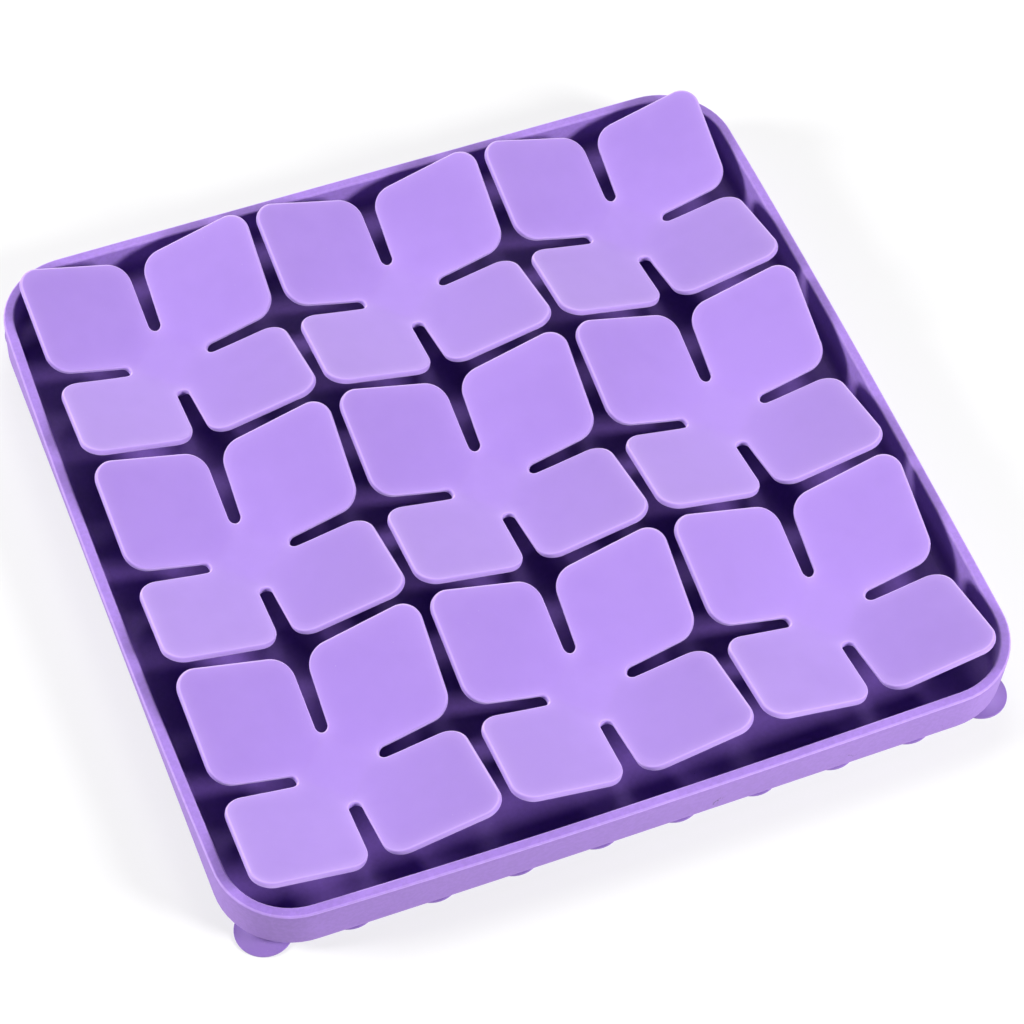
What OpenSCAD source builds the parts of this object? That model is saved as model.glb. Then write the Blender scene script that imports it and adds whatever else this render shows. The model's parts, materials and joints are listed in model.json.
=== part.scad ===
// Silicone lick mat: a square tray with nine four-petalled flowers and suction cups under its floor.
// Millimetres. +Z is up, X runs along the front edge to the right, Y runs to the back.
// The origin is on the table, under the middle of the mat.

/* [Tray] */
// Gap between the outermost petal corners and the inside of the wall
rim_gap = 5.3; // [4:0.1:12]
// Thickness of the wall, which is also the width of its flat rim
wall_t = 3.8; // [2:0.1:6]
// Height of the wall from the underside of the floor to the rim
wall_h = 18.5; // [12:0.5:22]
// Thickness of the floor
floor_t = 2.5; // [1.5:0.1:4]
// Radius of the tray's outer corners, seen from above
tray_corner_r = 27; // [15:1:30]

/* [Flowers] */
// Width of a flower across its petals' outer corners, before they are rounded
flower_w = 86.8; // [70:0.1:100]
// Gap between two flowers at their petals' outer corners
flower_gap = 3.2; // [2.4:0.1:8]
// Height of the stem, from the floor to the flat middle of a flower
stem_h = 5; // [2:0.1:8]
// Diameter of the stem
stem_d = 18; // [10:0.5:20]
// Distance from the middle of a flower to the corners of its flat middle, which point at the slots
flat_reach = 14; // [8:0.1:14]

/* [Petals] */
// Thickness of a petal
petal_t = 2.5; // [1.6:0.1:3]
// Slope of a petal along the flower's diagonal, in degrees
petal_tilt = 22.2; // [18:0.1:26]
// How far a petal's outer edge draws in between its outer corner and the slot
petal_taper = 1.2; // [0:0.1:3]
// Radius of the outer corner of a petal
petal_tip_r = 7; // [3:0.5:12]
// Radius of the petal's two corners beside the slots
petal_side_r = 8.5; // [3:0.5:12]
// Distance from the middle of a flower to the end of each slot
slot_start = 14.7; // [13:0.1:18]
// Width of a slot at the petals' roots
slot_root_w = 4.6; // [4:0.1:6]
// Width of a slot at the flower's edge
slot_mouth_w = 6; // [5:0.1:9]
// Clearance around the rounded root on which a petal bends
hinge_gap = 0.3; // [0.2:0.05:0.4]

/* [Suction cups] */
// Number of cups along each side of the mat
cups_per_side = 10; // [6:1:12]
// Diameter of a cup's lip
cup_d = 20; // [12:0.5:21]
// Height of a cup, from the table to the underside of the floor
cup_h = 5.5; // [4.5:0.1:9]
// Diameter of the neck that joins a cup to the floor
cup_neck_d = 9; // [5:0.5:11]
// Height of the neck, from the cup's shoulder to the floor
cup_neck_h = 1.2; // [0.4:0.1:1.4]
// Depth of the hollow under a cup
cup_hollow = 2; // [1:0.1:2.5]
// Thickness of a cup's lip at its edge
cup_lip_t = 1; // [0.6:0.1:1.5]
// Width of the flat ring under a cup's lip
cup_ring_w = 1; // [0.6:0.1:2]
// Distance from the tray's sides to the middle of the outermost cups
cup_inset = 12; // [11:0.5:16]

/* [Hidden] */
silicone = [0.72, 0.57, 0.95];
shaded_silicone = [0.64, 0.50, 0.86];
cup_silicone = [0.60, 0.46, 0.82];

// Flowers stand in a square of this many rows and columns
flowers_per_side = 3;
// Straight steps in each rounded corner of an outline
arc_steps = 8;
// How far a petal's rounded root stays inside the petal's faces
root_inset = 0.05;

flower_pitch = flower_w + flower_gap;
tray_inside = flowers_per_side * flower_pitch - flower_gap + 2 * rim_gap;
tray_side = tray_inside + 2 * wall_t;
floor_top = cup_h + floor_t;
rim_z = cup_h + wall_h;

cup_pitch = (tray_side - 2 * cup_inset) / (cups_per_side - 1);

// A flower's upper face is an upside-down pyramid with a flat middle. Its faces slope by petal_tilt along
// the diagonals, and its edges, where the slots lie, climb by edge_slope for each millimetre outwards.
edge_slope = tan(petal_tilt) / sqrt(2);
face_drop = petal_t / cos(petal_tilt);
dish_z = floor_top + stem_h + petal_t;
// The flat underneath reaches a little further, because the sheet is as thick on its slopes
under_reach = flat_reach + (face_drop - petal_t) / edge_slope;

// A petal bends about a level line across the flower's diagonal, halfway through its thickness,
// where the rounded ends of the two slots beside it begin.
hinge_reach = (slot_start + slot_root_w) / sqrt(2);
hinge_z = dish_z + edge_slope * (sqrt(2) * hinge_reach - flat_reach) - face_drop / 2;
root_w = 2 * hinge_reach - sqrt(2) * slot_root_w;
root_r = petal_t / 2 - root_inset;

quarters = ["back_right", "back_left", "front_left", "front_right"];
function flower_name(row, col) = str("r", row, "c", col);
function hub_name(row, col) = str("hub_", flower_name(row, col));
function petal_name(row, col, quarter) = str("petal_", flower_name(row, col), "_", quarters[quarter]);
function cup_row_name(row) = str("cup_row_", row);

flower_rows = [1 : flowers_per_side];
cup_rows = [1 : cups_per_side];

// Distance from the middle of the mat to the given flower or cup row, counted from the front or left
function flower_at(index) = (index - (flowers_per_side + 1) / 2) * flower_pitch;
function cup_at(index) = (index - (cups_per_side + 1) / 2) * cup_pitch;

function unit(v) = v / norm(v);

// Points of the arc that rounds one corner of an outline drawn anticlockwise
function corner_arc(before, corner, after, r) =
    let (
        back = unit(before - corner),
        ahead = unit(after - corner),
        half_angle = acos(back * ahead) / 2,
        centre = corner + unit(back + ahead) * r / sin(half_angle),
        first = atan2(back.x, -back.y),
        step = (180 - 2 * half_angle) / arc_steps
    )
    [for (i = [0 : arc_steps]) centre + r * [cos(first + step * i), sin(first + step * i)]];

// An outline with each of its corners rounded by its own radius, or left sharp where that is zero
function rounded(points, radii) =
    let (n = len(points))
    [for (i = [0 : n - 1])
        each radii[i] > 0
            ? corner_arc(points[(i + n - 1) % n], points[i], points[(i + 1) % n], radii[i])
            : [points[i]]];

function rounded_square(side, r) =
    rounded([for (corner = [[-1, -1], [1, -1], [1, 1], [-1, 1]]) corner * side / 2], [r, r, r, r]);

// A point given from above, on the first quarter of a flower, laid flat in the petal's sloping plane:
// X runs out along the diagonal from the petal's root and Y lies along the root.
function laid_flat(p) = [((p.x + p.y) / sqrt(2) - hinge_reach) / cos(petal_tilt), (p.y - p.x) / sqrt(2)];

// Corners of a petal on the first quarter of a flower
petal_side = [flower_w / 2 - petal_taper, slot_mouth_w / 2];
petal_tip = [flower_w / 2, flower_w / 2];

module petal_outline() {
    side = laid_flat(petal_side);
    outline = [[0, -root_w / 2], side, laid_flat(petal_tip), [side.x, -side.y], [0, root_w / 2]];
    polygon(rounded(outline, [0, petal_side_r, petal_tip_r, petal_side_r, 0]));
}

module at_flower(row, col) {
    translate([flower_at(col), flower_at(row), 0])
        children();
}

// Children drawn with X out along the given petal from its bending line
module at_petal_root(quarter) {
    rotate([0, 0, 45 + 90 * quarter])
        translate([hinge_reach, 0, hinge_z])
            rotate([0, -petal_tilt, 0])
                children();
}

// Upside-down pyramid standing on its flat bottom, which reaches so far along X and Y
module dish(bottom_reach) {
    cylinder(h = flower_w * edge_slope, r1 = bottom_reach, r2 = bottom_reach + flower_w, $fn = 4);
}

module slots() {
    for (quarter = [0 : 3])
        rotate([0, 0, 90 * quarter])
            translate([slot_start + slot_root_w / 2, 0, 0]) {
                cylinder(d = slot_root_w, h = rim_z, $fn = 32);
                translate([0, -slot_root_w / 2, 0])
                    cube([flower_w, slot_root_w, rim_z]);
            }
}

module tray_floor() {
    color(shaded_silicone)
        translate([0, 0, cup_h])
            linear_extrude(floor_t)
                polygon(rounded_square(tray_side, tray_corner_r));
}

module tray_wall() {
    color(silicone)
        translate([0, 0, floor_top])
            linear_extrude(rim_z - floor_top)
                difference() {
                    polygon(rounded_square(tray_side, tray_corner_r));
                    polygon(rounded_square(tray_inside, tray_corner_r - wall_t));
                }
}

// The sheet between the four petals' roots, on its stem
module hub(row, col) {
    hub_reach = sqrt(2) * hinge_reach;
    hub_h = (hub_reach - flat_reach) * edge_slope + petal_t;
    color(silicone)
        at_flower(row, col)
            difference() {
                union() {
                    translate([0, 0, floor_top])
                        cylinder(d = stem_d, h = stem_h + petal_t / 2, $fn = 64);
                    intersection() {
                        translate([0, 0, dish_z - petal_t])
                            cylinder(r = hub_reach, h = hub_h, $fn = 4);
                        translate([0, 0, dish_z - petal_t])
                            dish(under_reach);
                    }
                }
                translate([0, 0, dish_z])
                    dish(flat_reach);
                slots();
                for (quarter = [0 : 3])
                    at_petal_root(quarter)
                        rotate([90, 0, 0])
                            cylinder(r = petal_t / 2 + hinge_gap, h = flower_w, center = true, $fn = 32);
            }
}

module petal(row, col, quarter) {
    color(silicone)
        at_flower(row, col)
            at_petal_root(quarter) {
                linear_extrude(petal_t, center = true)
                    petal_outline();
                rotate([90, 0, 0])
                    cylinder(r = root_r, h = root_w, center = true, $fn = 32);
            }
}

// Half of a cup's section, from its middle out
module cup_section() {
    neck_r = cup_neck_d / 2;
    lip_r = cup_d / 2;
    shoulder_z = cup_h - cup_neck_h;
    polygon([
        [0, cup_hollow],
        [lip_r - cup_ring_w, 0],
        [lip_r, 0],
        [lip_r, cup_lip_t],
        [neck_r, shoulder_z],
        [neck_r, cup_h],
        [0, cup_h]
    ]);
}

module cup_row(row) {
    color(cup_silicone)
        for (col = cup_rows)
            translate([cup_at(col), cup_at(row), 0])
                rotate_extrude($fn = 48)
                    cup_section();
}

tray_floor();
tray_wall();
for (row = flower_rows)
    for (col = flower_rows) {
        hub(row, col);
        for (q = [0 : 3])
            petal(row, col, q);
    }
for (row = cup_rows)
    cup_row(row);
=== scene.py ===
import json
import math

import bpy
import numpy as np
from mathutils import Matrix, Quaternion, Vector


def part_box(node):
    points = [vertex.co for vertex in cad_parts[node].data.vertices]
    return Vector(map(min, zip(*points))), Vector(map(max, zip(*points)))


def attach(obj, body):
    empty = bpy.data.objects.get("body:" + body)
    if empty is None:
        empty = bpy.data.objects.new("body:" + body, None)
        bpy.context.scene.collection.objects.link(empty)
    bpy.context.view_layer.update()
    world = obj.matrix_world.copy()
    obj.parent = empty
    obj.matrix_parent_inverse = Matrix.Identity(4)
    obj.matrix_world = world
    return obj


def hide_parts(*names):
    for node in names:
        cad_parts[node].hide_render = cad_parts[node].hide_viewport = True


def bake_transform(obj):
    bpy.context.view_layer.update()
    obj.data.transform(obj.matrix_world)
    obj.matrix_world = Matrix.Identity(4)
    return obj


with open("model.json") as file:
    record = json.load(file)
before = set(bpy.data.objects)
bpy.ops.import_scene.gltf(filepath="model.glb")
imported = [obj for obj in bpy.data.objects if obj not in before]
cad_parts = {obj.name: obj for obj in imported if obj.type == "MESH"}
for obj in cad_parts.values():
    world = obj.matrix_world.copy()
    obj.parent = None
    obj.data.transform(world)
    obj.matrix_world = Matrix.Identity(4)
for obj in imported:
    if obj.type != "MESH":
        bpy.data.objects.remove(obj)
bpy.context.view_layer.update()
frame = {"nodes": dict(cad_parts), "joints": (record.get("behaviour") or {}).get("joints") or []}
mm = 0.001
white = (1, 1, 1, 1)
quarterAngle = math.pi / 2

view = {
    "place": (-262.8 * mm, -590.4 * mm, 947.7 * mm),
    "aim": (0.0, -19.3 * mm, 24.0 * mm),  # the point of the mat in the middle of the picture
    "roll": math.radians(3.77),
    "lens": 112.6,
}


def addCamera():
    data = bpy.data.cameras.new("camera")
    data.lens = view["lens"]
    camera = bpy.data.objects.new("camera", data)
    camera.location = view["place"]
    gaze = Vector(view["aim"]) - Vector(view["place"])
    level = gaze.to_track_quat("-Z", "Y")
    camera.rotation_euler = (level @ Quaternion((0, 0, 1), view["roll"])).to_euler()
    bpy.context.scene.collection.objects.link(camera)
    bpy.context.scene.camera = camera


addCamera()
print("camera set")


# A socket of a material's nodes. Arithmetic on it adds Math nodes.
class Wire:
    def __init__(self, tree, socket=None):
        self.tree = tree
        self.socket = socket

    def node(self, kind, settings=None, sockets=None, output=0):
        made = self.tree.nodes.new(kind)
        for name, value in (settings or {}).items():
            if name == "stops":  # of a colour ramp
                self.setStops(made.color_ramp.elements, value)
            else:
                setattr(made, name, value)
        for name, value in (sockets or {}).items():
            if isinstance(value, Wire):
                self.tree.links.new(value.socket, made.inputs[name])
            else:
                made.inputs[name].default_value = value
        return Wire(self.tree, made.outputs[output])

    def setStops(self, elements, stops):
        while len(elements) < len(stops):
            elements.new(0.5)  # its place is set below
        for element, (position, colour) in zip(elements, stops):
            element.position = position
            element.color = colour

    def math(self, operation, first, second):
        return self.node("ShaderNodeMath", {"operation": operation}, {0: first, 1: second})

    def __add__(self, other):
        return self.math("ADD", self, other)

    __radd__ = __add__

    def __sub__(self, other):
        return self.math("SUBTRACT", self, other)

    def __rsub__(self, other):
        return self.math("SUBTRACT", other, self)

    def __mul__(self, other):
        return self.math("MULTIPLY", self, other)

    __rmul__ = __mul__

    # 0 below low, 1 above high, and smooth between them
    def between(self, low, high):
        return self.node(
            "ShaderNodeMapRange",
            {"interpolation_type": "SMOOTHSTEP"},
            {"Value": self, "From Min": low, "From Max": high},
        )

    def vector(self, operation, first, second):
        settings = {"operation": operation}
        return self.node("ShaderNodeVectorMath", settings, {0: first, 1: second}, output="Vector")

    # Sockets 6 and 7 of a Mix node are its colours, and output 2 is the mixed one
    def mix(self, blend, share, first, second):
        settings = {"data_type": "RGBA", "blend_type": blend}
        return self.node("ShaderNodeMix", settings, {"Factor": share, 6: first, 7: second}, output=2)

    # This value as the share of the second colour
    def tint(self, first, second):
        return self.mix("MIX", self, first, second)


silicone = {
    "lilac": (0.332, 0.195, 0.632, 1),
    "deepLilac": (0.310, 0.179, 0.603, 1),
    "edgeHighlightLilac": (0.680, 0.470, 0.960, 1),  # painted highlight for the light that thin edges let through and catch
    "lintLilac": (0.470, 0.380, 0.660, 1),
    "scuffLilac": (0.062, 0.037, 0.103, 1),
    # Scale and detail of each noise
    "clouds": (16, 2),  # soft clouds in the colour, some 60 mm across
    "mottle": (130, 3),
    "grain": (1900, 2),  # the matte skin of the mould, some half a millimetre
    "flecks": (650, 5),
    "cloudShare": 0.7,  # of the clouds in the colour, against the mottle
    "patchRange": (0.35, 0.65),  # the noise from one colour to the other
    "fleckRange": (0.35, 0.65),
    "grainDepth": 0.012 * mm,
    "mottleDepth": 0.05 * mm,
    # Share of the painted edge highlight on an edge, and its gains as the edge faces the front or the back:
    # less where the front lamp meets it, more on its upright front and along its back
    "edgeHighlightShare": 0.48,
    "frontDip": (-0.24, (0.15, 0.65)),
    "frontRise": (0.6, (0.75, 1.0)),
    "backRise": (0.6, (0.1, 0.5)),
    "lintScale": 190,
    "lintSize": (0.022, 0.040),
    "lintChance": (0.72, 0.82),  # cells below this have no lint
    "lintShare": 0.6,
    "roughness": 0.68,
    "grainRough": 0.12,  # what each adds to the roughness
    "mottleRough": 0.08,
    "lintRough": 0.20,
    "edgeRough": -0.06,
    "sheenTint": (0.90, 0.80, 1, 1),
    "shader": {
        "IOR": 1.41,
        "Subsurface Weight": 0.12,
        "Subsurface Radius": (1.0, 0.6, 1.4),
        "Subsurface Scale": 1.2 * mm,
        "Sheen Weight": 0.30,  # a bloom on the skin, which pales it where it is seen aslant
        "Sheen Roughness": 0.7,
    },
    # Painted shade, by its share: none on the petals, some on the tray's outside, most on its floor inside
    # the tray, where shade falls
    "paintedShadeTones": ((0, white), (0.45, (0.740, 0.692, 0.725, 1)), (1, (0.43, 0.315, 0.55, 1))),
}
# Dotted rubs on the outside of the front wall
rub = {
    "wallY": -143 * mm,
    "through": 20 * mm,  # how far a rub reaches through the wall
    "dots": (1100, 1),
    "dotWeight": 2.0,
    "reachWeight": 0.5,
    "fade": (0.95, 1.15),
    "marks": (
        {"x": 25 * mm, "z": 11 * mm, "turn": 0.9, "length": 3.4 * mm, "width": 2.0 * mm, "strength": 1.0},
        {"x": 74 * mm, "z": 12 * mm, "turn": -0.7, "length": 3.6 * mm, "width": 1.0 * mm, "strength": 1.0},
        {"x": 110 * mm, "z": 10 * mm, "turn": 0.2, "length": 1.6 * mm, "width": 1.0 * mm, "strength": 0.8},
    ),
}


def noise(pen, place, scale, detail):
    return pen.node("ShaderNodeTexNoise", None, {"Vector": place, "Scale": scale, "Detail": detail})


# 1 on the bits of lint, which lie in some cells of a fine net
def lintSpots(pen, place):
    cells = {"Vector": place, "Scale": silicone["lintScale"]}
    toLint = pen.node("ShaderNodeTexVoronoi", None, cells, output="Distance")
    cellColour = pen.node("ShaderNodeTexVoronoi", None, cells, output="Color")
    chance = pen.node("ShaderNodeSeparateColor", None, {"Color": cellColour})
    return (1 - toLint.between(*silicone["lintSize"])) * chance.between(*silicone["lintChance"])


# Painted highlight by facing: the share of the edge highlight grows or shrinks with the way the surface
# faces the lamps
def edgeHighlightShare(pen):
    normal = pen.node("ShaderNodeNewGeometry", output="Normal")
    toBack = pen.node("ShaderNodeSeparateXYZ", None, {"Vector": normal}, output="Y")
    toFront = 0 - toBack
    share = silicone["edgeHighlightShare"]
    for facing, key in ((toFront, "frontDip"), (toFront, "frontRise"), (toBack, "backRise")):
        gain, span = silicone[key]
        share = share + gain * facing.between(*span)
    return share


# One rub: its strength on its dots and 0 off them
def scuff(pen, place, mark):
    toMark = pen.vector("SUBTRACT", place, (mark["x"], rub["wallY"], mark["z"]))
    turned = pen.node(
        "ShaderNodeVectorRotate",
        {"rotation_type": "Y_AXIS"},
        {"Vector": toMark, "Angle": mark["turn"]},
        output="Vector",
    )
    shrunk = pen.vector("DIVIDE", turned, (mark["length"], rub["through"], mark["width"]))
    reach = pen.node("ShaderNodeVectorMath", {"operation": "LENGTH"}, {0: shrunk}, output="Value")
    dots = noise(pen, place, *rub["dots"])
    off = (reach * rub["reachWeight"] + dots * rub["dotWeight"]).between(*rub["fade"])
    return (1 - off) * mark["strength"]


def makeSilicone(name, sheenTint=silicone["sheenTint"], fleck=0.0, marks=()):
    material = bpy.data.materials.new(name)
    material.use_nodes = True
    tree = material.node_tree
    pen = Wire(tree)
    place = pen.node("ShaderNodeTexCoord", output="Object")
    edge = pen.node("ShaderNodeAttribute", {"attribute_name": "edge"}, output="Fac")
    depth = pen.node("ShaderNodeAttribute", {"attribute_name": "depth"}, output="Fac")
    clouds, mottle, grain = (noise(pen, place, *silicone[key]) for key in ("clouds", "mottle", "grain"))
    lint = lintSpots(pen, place)

    patches = clouds * silicone["cloudShare"] + mottle * (1 - silicone["cloudShare"])
    colour = patches.between(*silicone["patchRange"]).tint(silicone["deepLilac"], silicone["lilac"])
    # Painted highlight on thin edges, by the edge attribute
    colour = (edge * edgeHighlightShare(pen)).tint(colour, silicone["edgeHighlightLilac"])
    colour = (lint * silicone["lintShare"]).tint(colour, silicone["lintLilac"])
    for mark in marks:
        colour = scuff(pen, place, mark).tint(colour, silicone["scuffLilac"])
    # Painted shade: darkens the tray's outside, rim and cups, and most of all the floor inside the tray and
    # the foot of the wall inside
    stops = {"stops": silicone["paintedShadeTones"]}
    tone = pen.node("ShaderNodeValToRGB", stops, {"Fac": depth}, output="Color")
    colour = pen.mix("MULTIPLY", 1.0, colour, tone)
    if fleck:
        pale, dark = ((1 + way * fleck,) * 3 + (1,) for way in (1, -1))
        flecks = noise(pen, place, *silicone["flecks"]).between(*silicone["fleckRange"])
        colour = pen.mix("MULTIPLY", 1.0, colour, flecks.tint(dark, pale))

    # The noises vary about 0.5
    roughness = silicone["roughness"] + (grain - 0.5) * silicone["grainRough"]
    roughness = roughness + (mottle - 0.5) * silicone["mottleRough"]
    roughness = roughness + lint * silicone["lintRough"] + edge * silicone["edgeRough"]
    height = mottle * (silicone["mottleDepth"] / silicone["grainDepth"]) + grain
    relief = {"Strength": 1.0, "Distance": silicone["grainDepth"], "Height": height}
    bump = pen.node("ShaderNodeBump", None, relief)

    shader = tree.nodes["Principled BSDF"]
    for socket, wire in (("Base Color", colour), ("Roughness", roughness), ("Normal", bump)):
        tree.links.new(wire.socket, shader.inputs[socket])
    for socket, value in silicone["shader"].items():
        shader.inputs[socket].default_value = value
    shader.inputs["Sheen Tint"].default_value = sheenTint
    return material


# Points and faces of one closed piece, gathered row by row
class Shell:
    def __init__(self):
        self.points = []
        self.normals = []
        self.edges = []  # share of the painted edge highlight: 1 on a thin edge, 0 away from it
        self.paintedShades = []  # share of the painted shade: 1 on the floor inside the tray, where shade falls, 0 out of it
        self.faces = []

    # A row without normals is shaded by its faces
    def row(self, points, normals=None, edge=0.0, depth=0.0):
        first = len(self.points)
        if normals is None:
            normals = np.zeros((len(points), 3))
        self.points.extend(tuple(point) for point in points)
        self.normals.extend(tuple(normal) for normal in normals)
        self.edges.extend(np.broadcast_to(edge, len(points)))
        self.paintedShades.extend(np.broadcast_to(depth, len(points)))
        return list(range(first, len(self.points)))

    # Faces between two rows. A row may be one point said many times.
    def join(self, first, second):
        for i in range(len(first) - 1):
            corners = [first[i], first[i + 1], second[i + 1], second[i]]
            self.faces.append(list(dict.fromkeys(corners)))

    def loop(self, first, second):
        self.join(first + first[:1], second + second[:1])

    # Faces from each closed row to the next
    def skin(self, rows):
        for first, second in zip(rows, rows[1:]):
            self.loop(first, second)


sharpAngle = math.radians(50)  # sharper bends show as a line


# Turns rows of points about the upright axis
def spinBy(turn):
    c, s = math.cos(turn), math.sin(turn)
    return np.array([[c, s, 0], [-s, c, 0], [0, 0, 1]])


def makePiece(name, shell, material, turn=0.0, shift=(0, 0, 0)):
    points = np.array(shell.points) @ spinBy(turn) + np.array(shift)
    mesh = bpy.data.meshes.new(name)
    mesh.from_pydata(points.tolist(), [], shell.faces)
    mesh.polygons.foreach_set("use_smooth", [True] * len(shell.faces))
    mesh.set_sharp_from_angle(angle=sharpAngle)
    for label, values in (("edge", shell.edges), ("depth", shell.paintedShades)):
        mesh.attributes.new(label, "FLOAT", "POINT").data.foreach_set("value", values)
    normals = np.array(shell.normals) @ spinBy(turn)
    if normals.any():
        corners = np.zeros(len(mesh.loops), int)
        mesh.loops.foreach_get("vertex_index", corners)
        mesh.normals_split_custom_set(normals[corners].tolist())
    mesh.materials.append(material)
    piece = bpy.data.objects.new(name, mesh)
    bpy.context.scene.collection.objects.link(piece)
    return piece


def smoothStep(low, high, value):
    t = np.clip((value - low) / (high - low), 0, 1)
    return t * t * (3 - 2 * t)


# A quarter of a circle in steps, from (0, 0), where it runs along the first axis, to (1, 1)
def quarterTurn(steps):
    return [(math.sin(a), 1 - math.cos(a)) for a in np.linspace(0, quarterAngle, steps + 1)]


def circle(sides):
    turns = np.linspace(0, 2 * math.pi, sides, endpoint=False)
    return np.column_stack([np.cos(turns), np.sin(turns)])


def atHeight(plan, height):
    return np.column_stack([plan, np.full(len(plan), height)])


flower = {
    "perSide": 3,  # flowers along each side of the mat
    "width": 86.8 * mm,  # across the petals' outer corners, before they are rounded
    "taper": 1.2 * mm,
    "slotStart": 14.7 * mm,
    "slotRoot": 4.6 * mm,
    "slotMouth": 6.0 * mm,
    "tipRound": 7.0 * mm,
    "sideRound": 8.5 * mm,
    "thick": 2.5 * mm,
    "slope": math.radians(22.2),
    "topRound": 0.9 * mm,
    "underRound": 0.7 * mm,
    "flatReach": 14.0 * mm,  # from the middle of a flower to the corners of its flat bottom
    "bendRound": 3.5 * mm,  # how softly the petals bend up from it
    "creaseRound": 2.0 * mm,  # how softly two petals run into each other at the end of a slot
    "creaseFade": (15 * mm, 24 * mm),
    "slopeStep": 0.02 * mm,  # the sheet's slope is read this far to each side
    "bend": (10.8 * mm, 17.5 * mm),  # where a petal bends, out from the middle of the flower
    "glow": 0.5,  # how much painted light, for light that comes in at the edges, shows inside them
    "glowReach": 1.6 * mm,
    "glowPoints": 8,
    "edgeGain": 2.2,  # how fast the painted edge highlight comes in round an edge
    "edgeLoss": 0.6,  # how much of it goes again where the edge stands upright
    # How finely the sheet is divided
    "columns": 16,
    "hubRings": 8,
    "slotEndPoints": 8,
    "slotStep": 1.9 * mm,
    "sideSteps": 9,
    "outerStep": 2.8 * mm,
    "tipSteps": 14,
    "topPoints": 7,
    "underPoints": 4,
}
stem = {"radius": 9.0 * mm, "foot": 2.0 * mm, "footSteps": 4, "topShares": (1.0, 0.7, 0.4), "sides": 48}

hinges = {joint["child"]: joint for joint in frame["joints"]}
diagonal = math.sqrt(2)  # of a square, against its side
climb = math.tan(flower["slope"]) / diagonal  # of a petal, against its run along x or y


def nodeCentre(node):
    low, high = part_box(node)
    return (low + high) / 2


# Height of a flower's flat bottom, halfway through the sheet.
# The petals slope up from it to their bending lines.
def flatHeight():
    hinge = Vector(hinges["petal_r2c2_back_right"]["pos_m"])
    away = diagonal * (hinge - nodeCentre("hub_r2c2")).xy.length
    return hinge.z - climb * (away - flower["flatReach"])


flatLow = flatHeight()


# How far the crease between two petals is rounded off, at this distance from the middle
def creaseRound(away):
    return flower["creaseRound"] * (1 - smoothStep(*flower["creaseFade"], np.abs(away)))


def sheetHeight(x, y):
    past = np.hypot(x, creaseRound(y)) + np.hypot(y, creaseRound(x)) - flower["flatReach"]
    return flatLow + climb * (past + np.hypot(past, flower["bendRound"])) / 2


def sheetNormal(x, y):
    step = flower["slopeStep"]
    slopeX = (sheetHeight(x + step, y) - sheetHeight(x - step, y)) / (2 * step)
    slopeY = (sheetHeight(x, y + step) - sheetHeight(x, y - step)) / (2 * step)
    normal = np.stack([-slopeX, -slopeY, np.ones_like(slopeX)], -1)
    return normal / np.linalg.norm(normal, axis=-1, keepdims=True)


# Points this far above the middle of the sheet, and the sheet's normals there
def onSheet(plan, above):
    plan = np.atleast_2d(plan)
    x, y = plan[:, 0], plan[:, 1]
    normal = sheetNormal(x, y)
    return np.column_stack([x, y, sheetHeight(x, y)]) + above * normal, normal


# The arc that rounds a corner of an outline
def roundCorner(before, corner, after, radius, steps):
    back = (before - corner) / np.linalg.norm(before - corner)
    ahead = (after - corner) / np.linalg.norm(after - corner)
    half = math.acos(back @ ahead) / 2
    middle = (back + ahead) / np.linalg.norm(back + ahead)
    centre = corner + middle * radius / math.sin(half)
    across = (back - ahead) / np.linalg.norm(back - ahead)
    angles = np.linspace(half - quarterAngle, quarterAngle - half, steps + 1)
    return np.array([centre - radius * (middle * math.cos(a) + across * math.sin(a)) for a in angles])


def straight(start, end, step):
    count = max(2, round(np.linalg.norm(end - start) / step))
    return start + (end - start) * np.linspace(0, 1, count + 1)[1:-1, None]


# Half of a petal's outline from above, from the end of a slot to the petal's tip, and the way in from it
def petalOutline():
    half, root = flower["width"] / 2, flower["slotRoot"] / 2
    toDiagonal = np.array([[1, 1], [-1, 1]]) / diagonal
    flat = np.diag([1 / math.cos(flower["slope"]), 1]) @ toDiagonal  # laid flat in the petal's slope

    slotEnd = np.array([0, flower["slotStart"] + root])
    angles = np.linspace(-quarterAngle, 0, flower["slotEndPoints"])
    endArc = slotEnd + root * np.column_stack([np.cos(angles), np.sin(angles)])
    side = np.array([flower["slotMouth"] / 2, half - flower["taper"]])
    tip = np.array([half, half])
    sideCorner = flat @ endArc[-1], flat @ side, flat @ tip
    sideArc = roundCorner(*sideCorner, flower["sideRound"], flower["sideSteps"])
    tipCorner = flat @ side, flat @ tip, flat @ side[::-1]
    tipArc = roundCorner(*tipCorner, flower["tipRound"], flower["tipSteps"])
    halfTip = tipArc[: flower["tipSteps"] // 2 + 1]
    sideArc, halfTip = (np.linalg.solve(flat, arc.T).T for arc in (sideArc, halfTip))
    outline = np.vstack([
        endArc,
        straight(endArc[-1], sideArc[0], flower["slotStep"]),
        sideArc,
        straight(sideArc[-1], halfTip[0], flower["outerStep"]),
        halfTip,
    ])
    along = np.gradient(outline, axis=0)
    along[0], along[-1] = (1, 0), (1, -1)
    along /= np.linalg.norm(along, axis=1, keepdims=True)
    return outline, np.column_stack([along[:, 1], -along[:, 0]])


# Both halves of a petal's outline, from the first one
def bothHalves(half):
    return np.vstack([half, half[-2::-1, ::-1]])


# The same points in all four quarters of a flower
def fourQuarters(plan):
    quarterSpin = np.array([[0, 1], [-1, 0]])
    return np.vstack([plan @ np.linalg.matrix_power(quarterSpin, k) for k in range(4)])


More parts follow.
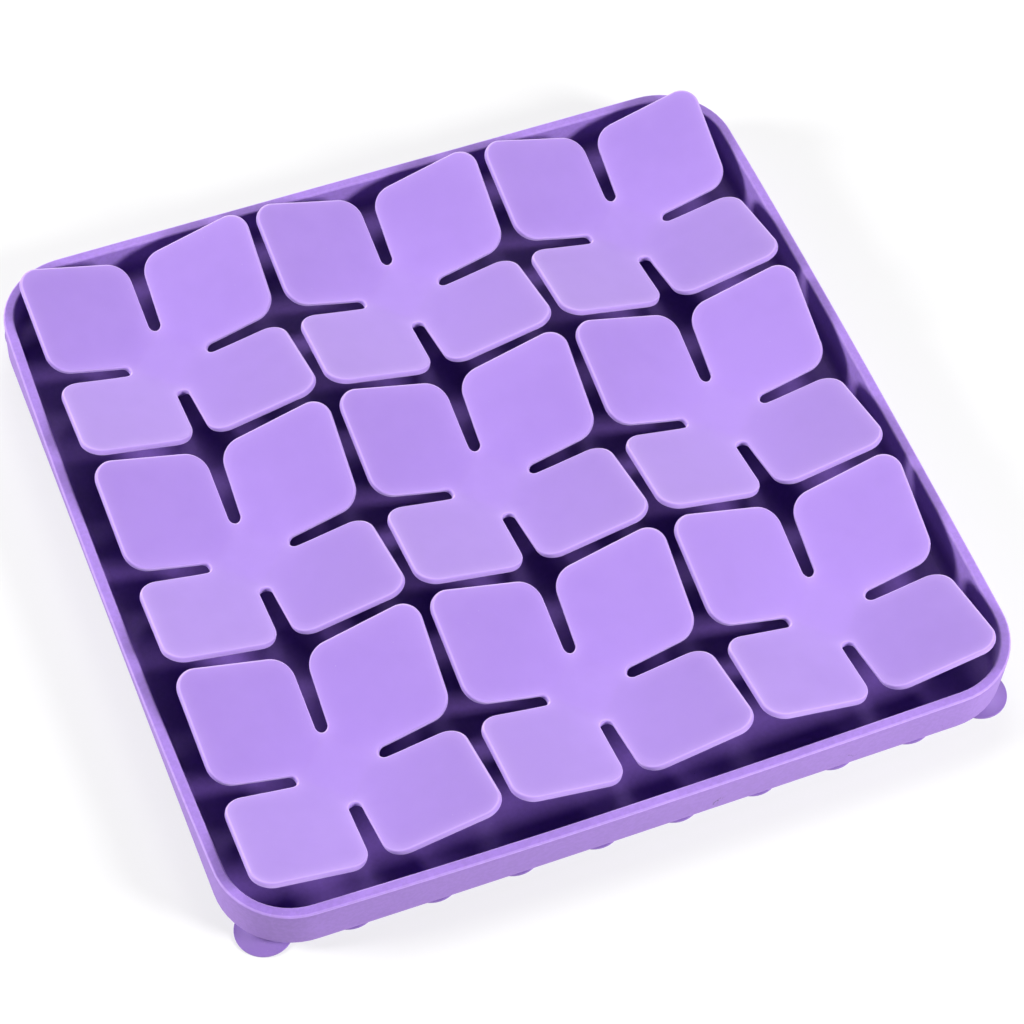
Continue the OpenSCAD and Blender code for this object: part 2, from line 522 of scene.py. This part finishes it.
# How much of the painted edge highlight shows at these points of a flower, by how near an edge they are
def edgeGlow(plan):
    outline = bothHalves(petalOutline()[0])
    along = np.linspace(0, 1, flower["glowPoints"])[:, None]
    dense = np.vstack([start + (end - start) * along for start, end in zip(outline, outline[1:])])
    gaps = np.linalg.norm(np.asarray(plan)[:, None] - fourQuarters(dense)[None], axis=2).min(1)
    return flower["glow"] * np.exp(-gaps / flower["glowReach"])


# The rounded edge of the sheet, in steps from its top to its underside:
# how far in, how high, and the turn of its normal
def edgeSteps():
    half, top, under = flower["thick"] / 2, flower["topRound"], flower["underRound"]
    for turn in np.linspace(0, quarterAngle, flower["topPoints"]):
        yield top * (1 - math.sin(turn)), half - top * (1 - math.cos(turn)), turn
    for turn in np.linspace(quarterAngle, math.pi, flower["underPoints"]):
        yield under * (1 - math.sin(turn)), under * (1 + math.cos(turn)) - half, turn


def petalShell():
    shell = Shell()
    outline, inward = petalOutline()
    last = len(outline) - 1
    steps = list(edgeSteps())

    def rowsAcross(inset, above, sign):
        rows = []
        for j in range(last + 1):
            left = outline[j] + inset * inward[j]
            count = flower["columns"] + 1 if j < last else 1
            share = np.linspace(0, 1, count)[:, None]
            plan = left + (left[::-1] - left) * share
            places, normals = onSheet(plan, above)
            row = shell.row(places, sign * normals, edgeGlow(plan))
            rows.append(row if j < last else row * (flower["columns"] + 1))
        return rows

    def rimOf(rows):
        return [row[0] for row in rows] + [row[-1] for row in rows[-2::-1]]

    def edgeRow(inset, above, turn):
        plan = bothHalves(outline + inset * inward)
        way = -bothHalves(inward)
        places, normals = onSheet(plan, above)
        outward = np.column_stack([way, -(way * normals[:, :2]).sum(1) / normals[:, 2]])
        outward /= np.linalg.norm(outward, axis=1, keepdims=True)
        # Painted highlight round the rounded edge, strongest partway round it
        glow = np.maximum(edgeGlow(plan), min(1.0, flower["edgeGain"] * math.sin(turn)))
        glow *= 1 - flower["edgeLoss"] * smoothStep(quarterAngle / 2, quarterAngle, turn)
        return shell.row(places, math.cos(turn) * normals + math.sin(turn) * outward, glow)

    top = rowsAcross(*steps[0][:2], 1)
    under = rowsAcross(*steps[-1][:2], -1)
    for j in range(last):
        shell.join(top[j], top[j + 1])
        shell.join(under[j + 1], under[j])
    edges = [rimOf(top)] + [edgeRow(*step) for step in steps[1:-1]] + [rimOf(under)]
    for upper, lower in zip(edges, edges[1:]):
        shell.join(upper, lower)
    shell.join(under[0], top[0])  # the root, against the middle of the flower
    shell.faces.append([row[0] for row in edges])
    shell.faces.append([row[-1] for row in reversed(edges)])
    return shell


# The middle of a flower, a square on its corner, with the stem under it
def hubShell(floorTop):
    shell = Shell()
    steps = list(edgeSteps())
    along = np.linspace(0, 1, flower["columns"] + 1)[:-1, None]

    def ring(reach, above, sign):
        plan = fourQuarters(reach * np.column_stack([1 - along, along]))
        places, normals = onSheet(plan, above)
        return shell.row(places, sign * normals, edgeGlow(plan))

    def dish(inset, above, sign):
        outer = flower["slotStart"] - inset
        place, normal = onSheet((0, 0), above)
        rings = [shell.row(place, sign * normal) * (4 * flower["columns"])]
        for i in range(1, flower["hubRings"] + 1):
            rings.append(ring(outer * i / flower["hubRings"], above, sign))
        for inner, outerRing in zip(rings, rings[1:]):
            shell.loop(*((inner, outerRing) if sign < 0 else (outerRing, inner)))
        return rings[-1]

    upper = dish(*steps[0][:2], 1)
    lower = dish(*steps[-1][:2], -1)
    shell.loop(lower, upper)

    around = circle(stem["sides"])
    rows = []
    for a, b in quarterTurn(stem["footSteps"]):
        radius = stem["radius"] + stem["foot"] * (1 - a)
        rows.append(shell.row(atHeight(around * radius, floorTop + stem["foot"] * b)))
    for share in stem["topShares"]:  # its top follows the hub's sheet, inside it
        plan = around * stem["radius"] * share
        rows.append(shell.row(np.column_stack([plan, sheetHeight(*plan.T)])))
    shell.skin(rows)
    shell.faces.append(rows[0][::-1])
    shell.faces.append(rows[-1])
    return shell


tray = {
    "wall": 3.8 * mm,
    "cornerRound": 27.0 * mm,
    "rimRound": 0.8 * mm,
    "footRound": 1.0 * mm,
    "innerRound": 2.5 * mm,
    # How far the soft walls bow out at their foot and at their rim, in the middle of each side
    "sides": {
        "front": (0.7 * mm, 2.0 * mm),
        "right": (1.1 * mm, 1.8 * mm),
        "back": (0.1 * mm, 0.2 * mm),
        "left": (-0.1 * mm, 1.8 * mm),
    },
    # The same at the corner after each side
    "corners": {
        "front": (0.6 * mm, 1.1 * mm),
        "right": (0.3 * mm, 0.5 * mm),
        "back": (0, 0),
        "left": (0, 0),
    },
    "bed": 12.0 * mm,  # from the outside in to the flat middle of the floor
    "wallPaintedShade": 0.45,  # painted shade on the tray's outside, which gets less light
    # painted shade on the rim
    "rimPaintedShade": 0.08,
    "paintedShadeRise": 10.0 * mm,  # the floor's painted shade fades out up the inside of the wall, to this height
    "rimGlow": (2, 1),  # how fast the painted edge highlight comes in round the rim's outer and inner edge
    "fleck": 0.05,  # how far the rougher skin of the walls varies in tone
    "sheenTint": (0.70, 0.50, 1, 1),
    "sideSteps": 28,
    "cornerSteps": 14,
    "wallPoints": 7,
    "rimSteps": 6,
    "innerPoints": 8,
    "roundSteps": 5,
}
sideOrder = tuple(tray["sides"])
floorLow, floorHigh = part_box("tray_floor")
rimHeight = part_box("tray_wall")[1].z


# How far the foot and the rim of one side bow out, at this distance from the middle of that side
def leanAt(side, along):
    share = np.clip(along / (floorHigh.x - tray["cornerRound"]), -1, 1)
    before = sideOrder[sideOrder.index(side) - 1]
    middle = np.array(tray["sides"][side])
    end = np.array(tray["corners"][side if share > 0 else before])
    return middle + (end - middle) * share**2


# Once round the tray from above: places on its outside, the way out, and how far foot and rim bow out there
def trayLoop():
    half = floorHigh.x
    run = half - tray["cornerRound"]
    places, ways, leans = [], [], []
    for k, side in enumerate(sideOrder):
        spin = spinBy(k * quarterAngle)[:2, :2]
        for along in np.linspace(-run, run, tray["sideSteps"] + 1):
            places.append(np.array([along, -half]) @ spin)
            ways.append(np.array([0, -1]) @ spin)
            leans.append(leanAt(side, along))
        for angle in np.linspace(-quarterAngle, 0, tray["cornerSteps"] + 1)[1:-1]:
            way = np.array([math.cos(angle), math.sin(angle)])
            places.append((np.array([run, -run]) + tray["cornerRound"] * way) @ spin)
            ways.append(way @ spin)
            leans.append(tray["corners"][side])
    return np.array(places), np.array(ways), np.array(leans)


def trayRow(shell, inset, height, edge=0.0, depth=0.0):
    places, ways, leans = trayLoop()
    share = (height - floorLow.z) / (rimHeight - floorLow.z)
    plan = places + ways * (leans @ (1 - share, share) - inset)[:, None]
    return shell.row(atHeight(plan, height), None, edge, depth)


# Sections are steps of inset, height, edge highlight and painted shade
def wallShell():
    shell = Shell()
    wall, rim, foot = tray["wall"], tray["rimRound"], tray["innerRound"]
    low, high = floorHigh.z, rimHeight
    top = tray["rimPaintedShade"]
    outer, inner = tray["rimGlow"]
    rimTurn = quarterTurn(tray["rimSteps"])
    section = [(0, z, 0, tray["wallPaintedShade"]) for z in np.linspace(low, high - rim, tray["wallPoints"])]
    # Painted highlight on the rounding of the rim's outer and inner edge
    section += [(rim * b, high - rim + rim * a, outer * a * (1 - b), top) for a, b in rimTurn[1:]]
    section += [(wall - rim * (1 - a), high - rim * b, inner * a * (1 - b), top) for a, b in rimTurn]
    # Painted shade on the inside of the wall, darkest at its foot
    for z in np.linspace(high - rim, low + foot, tray["innerPoints"])[1:]:
        risen = smoothStep(low + foot, low + tray["paintedShadeRise"], z)
        section.append((wall, z, 0, top + (1 - top) * (1 - risen)))
    for a, b in quarterTurn(tray["roundSteps"])[1:]:
        section.append((wall + foot * b, low + foot * (1 - a), 0, 1))
    rows = [trayRow(shell, *step) for step in section]
    shell.skin(rows + rows[:1])
    return shell


def floorShell():
    shell = Shell()
    foot, bed = tray["footRound"], tray["bed"]
    low, high = floorLow.z, floorHigh.z
    outer = tray["wallPaintedShade"]
    section = [(bed, low)]
    section += [(foot * (1 - a), low + foot * b, 0, outer) for a, b in quarterTurn(tray["roundSteps"])]
    section += [(0, high, 0, outer), (tray["wall"], high, 0, 1), (bed, high, 0, 1)]
    rows = [trayRow(shell, *step) for step in section]
    shell.skin(rows)
    shell.faces.append(rows[0][::-1])
    shell.faces.append(rows[-1])
    return shell


cup = {
    "neckRadius": 4.5 * mm,
    "neckHeight": 1.2 * mm,
    "hollow": 2.0 * mm,
    "lip": 1.0 * mm,
    "ring": 1.0 * mm,
    "soft": 0.35 * mm,  # rounding of the lip
    "flare": 1.0 * mm,
    "sag": 0.45,  # how much the slope from the lip up to the neck hangs in
    "depth": 0.6,  # painted shade on the cups, between the tray's outside and its floor
    "follow": 1.7,  # times the bow of the front side's foot, which draws the cups there out
    "sides": 48,
    "hollowPoints": 9,
    "lipSteps": 4,
    "slopePoints": 10,
    "neckSteps": 4,
}


# Half of a cup's section, from the middle of its hollow out over the lip and up to the floor
def cupSection(radius, height):
    soft, lip, sag = cup["soft"], cup["lip"], cup["sag"]
    ringStart = radius - cup["ring"]
    shoulder = height - cup["neckHeight"]
    lipTurn = quarterTurn(cup["lipSteps"])
    outward = np.linspace(0, 1, cup["hollowPoints"])[1:]
    section = [(ringStart * t, cup["hollow"] * (1 - t * t)) for t in outward]
    section += [(radius - soft * (1 - a), soft * b) for a, b in lipTurn]
    section += [(radius - soft * b, lip - soft * (1 - a)) for a, b in lipTurn]
    for t in np.linspace(0, 1, cup["slopePoints"])[1:]:
        reach = (radius - soft) + (cup["neckRadius"] - radius + soft) * t
        section.append((reach, lip + (shoulder - lip) * ((1 - sag) * t + sag * t * t)))
    for a, b in quarterTurn(cup["neckSteps"])[1:]:
        section.append((cup["neckRadius"] + cup["flare"] * b, shoulder + (height - shoulder) * a))
    return section


def cupRowShell(node, count):
    shell = Shell()
    low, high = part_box(node)
    radius = (high.y - low.y) / 2
    section = cupSection(radius, high.z - low.z)
    around = circle(cup["sides"])
    for x in np.linspace(low.x + radius, high.x - radius, count):
        y = low.y + radius
        bow = cup["follow"] * leanAt("front", x)[0] * max(0.0, -y / floorHigh.y) ** 2
        centre = np.array([x, y - bow])
        crown = shell.row([(*centre, low.z + cup["hollow"])], depth=cup["depth"])
        rows = [crown * cup["sides"]]
        for reach, height in section:
            rows.append(shell.row(atHeight(centre + around * reach, low.z + height), depth=cup["depth"]))
        shell.skin(rows)
        shell.faces.append(rows[-1])
    return shell


petalSilicone = makeSilicone("petal silicone")
wallSilicone = makeSilicone("wall silicone", tray["sheenTint"], tray["fleck"], rub["marks"])
cupSilicone = makeSilicone("cup silicone")
print("materials made")

quarters = ("back_right", "back_left", "front_left", "front_right")


def buildFlowers():
    onePetal, oneHub = petalShell(), hubShell(floorHigh.z)
    lines = range(1, flower["perSide"] + 1)
    for spot in [f"r{row}c{col}" for row in lines for col in lines]:
        centre = nodeCentre("hub_" + spot)
        shift = Vector((centre.x, centre.y, 0))
        hub = makePiece("flower_middle_" + spot, oneHub, petalSilicone, 0, shift)
        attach(hub, "mat")
        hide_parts("hub_" + spot)
        for k, quarter in enumerate(quarters):
            node = f"petal_{spot}_{quarter}"
            turn = k * quarterAngle
            petal = makePiece("soft_" + node, onePetal, petalSilicone, turn, shift)
            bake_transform(petal)
            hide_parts(node)


def buildTray():
    wall = makePiece("rim_wall", wallShell(), wallSilicone)
    floor = makePiece("floor_sheet", floorShell(), wallSilicone)
    for piece, node in ((wall, "tray_wall"), (floor, "tray_floor")):
        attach(piece, "mat")
        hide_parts(node)


def buildCups():
    rows = [node for node in frame["nodes"] if node.startswith("cup_row_")]
    for node in rows:
        name = node.replace("cup_row", "suction_cups")
        piece = makePiece(name, cupRowShell(node, len(rows)), cupSilicone)
        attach(piece, "mat")
        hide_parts(node)


buildFlowers()
print("flowers built")
buildTray()
print("tray built")
buildCups()
print("cups built")

studio = {
    "floorSize": 6.0,
    "floorDrop": 0.1 * mm,  # just clear of the cups
    "floorTone": (0.32, 0.32, 0.32, 1),
    "floorRoughness": 0.9,
    "floorGlow": 0.60,  # a white table lit from below, which keeps the shadows round the mat faint
    "ambient": 0.03,
    "lamps": {
        "left": {"place": (-1.36, 0.29, 0.80), "size": 0.5, "power": 25.8},
        "right": {"place": (0.92, -1.02, 0.82), "size": 0.5, "power": 30.4},
        "back": {"place": (0.21, 1.49, 0.55), "size": 1.0, "power": 9.5},
        "high": {"place": (0.33, 0.73, 1.39), "size": 0.5, "power": 4.8},
    },
}


def addLamp(name, lamp):
    data = bpy.data.lights.new(name, "AREA")
    data.shape = "DISK"
    data.size = lamp["size"]
    data.energy = lamp["power"]
    light = bpy.data.objects.new(name, data)
    light.location = lamp["place"]
    light.visible_camera = False
    light.rotation_euler = (-Vector(lamp["place"])).to_track_quat("-Z", "Y").to_euler()
    bpy.context.scene.collection.objects.link(light)


def addFloor():
    half = studio["floorSize"] / 2
    corners = ((-half, -half), (half, -half), (half, half), (-half, half))
    mesh = bpy.data.meshes.new("studio_floor")
    mesh.from_pydata([(x, y, -studio["floorDrop"]) for x, y in corners], [], [(0, 1, 2, 3)])
    material = bpy.data.materials.new("pale floor")
    material.use_nodes = True
    shader = material.node_tree.nodes["Principled BSDF"]
    shader.inputs["Base Color"].default_value = studio["floorTone"]
    shader.inputs["Roughness"].default_value = studio["floorRoughness"]
    shader.inputs["Emission Color"].default_value = white
    shader.inputs["Emission Strength"].default_value = studio["floorGlow"]
    mesh.materials.append(material)
    floor = bpy.data.objects.new("studio_floor", mesh)
    bpy.context.scene.collection.objects.link(floor)


def lightScene():
    world = bpy.data.worlds.new("studio")
    world.use_nodes = True
    sky = world.node_tree.nodes["Background"]
    sky.inputs["Color"].default_value = white
    # The mat gets little light from the sky, but the backdrop is as pale as the floor
    seen = Wire(world.node_tree).node("ShaderNodeLightPath", output="Is Camera Ray")
    strength = studio["ambient"] + seen * (studio["floorGlow"] - studio["ambient"])
    world.node_tree.links.new(strength.socket, sky.inputs["Strength"])
    bpy.context.scene.world = world
    bpy.context.scene.view_settings.view_transform = "Standard"
    for name, lamp in studio["lamps"].items():
        addLamp(name, lamp)
    addFloor()


lightScene()
print("studio lit")
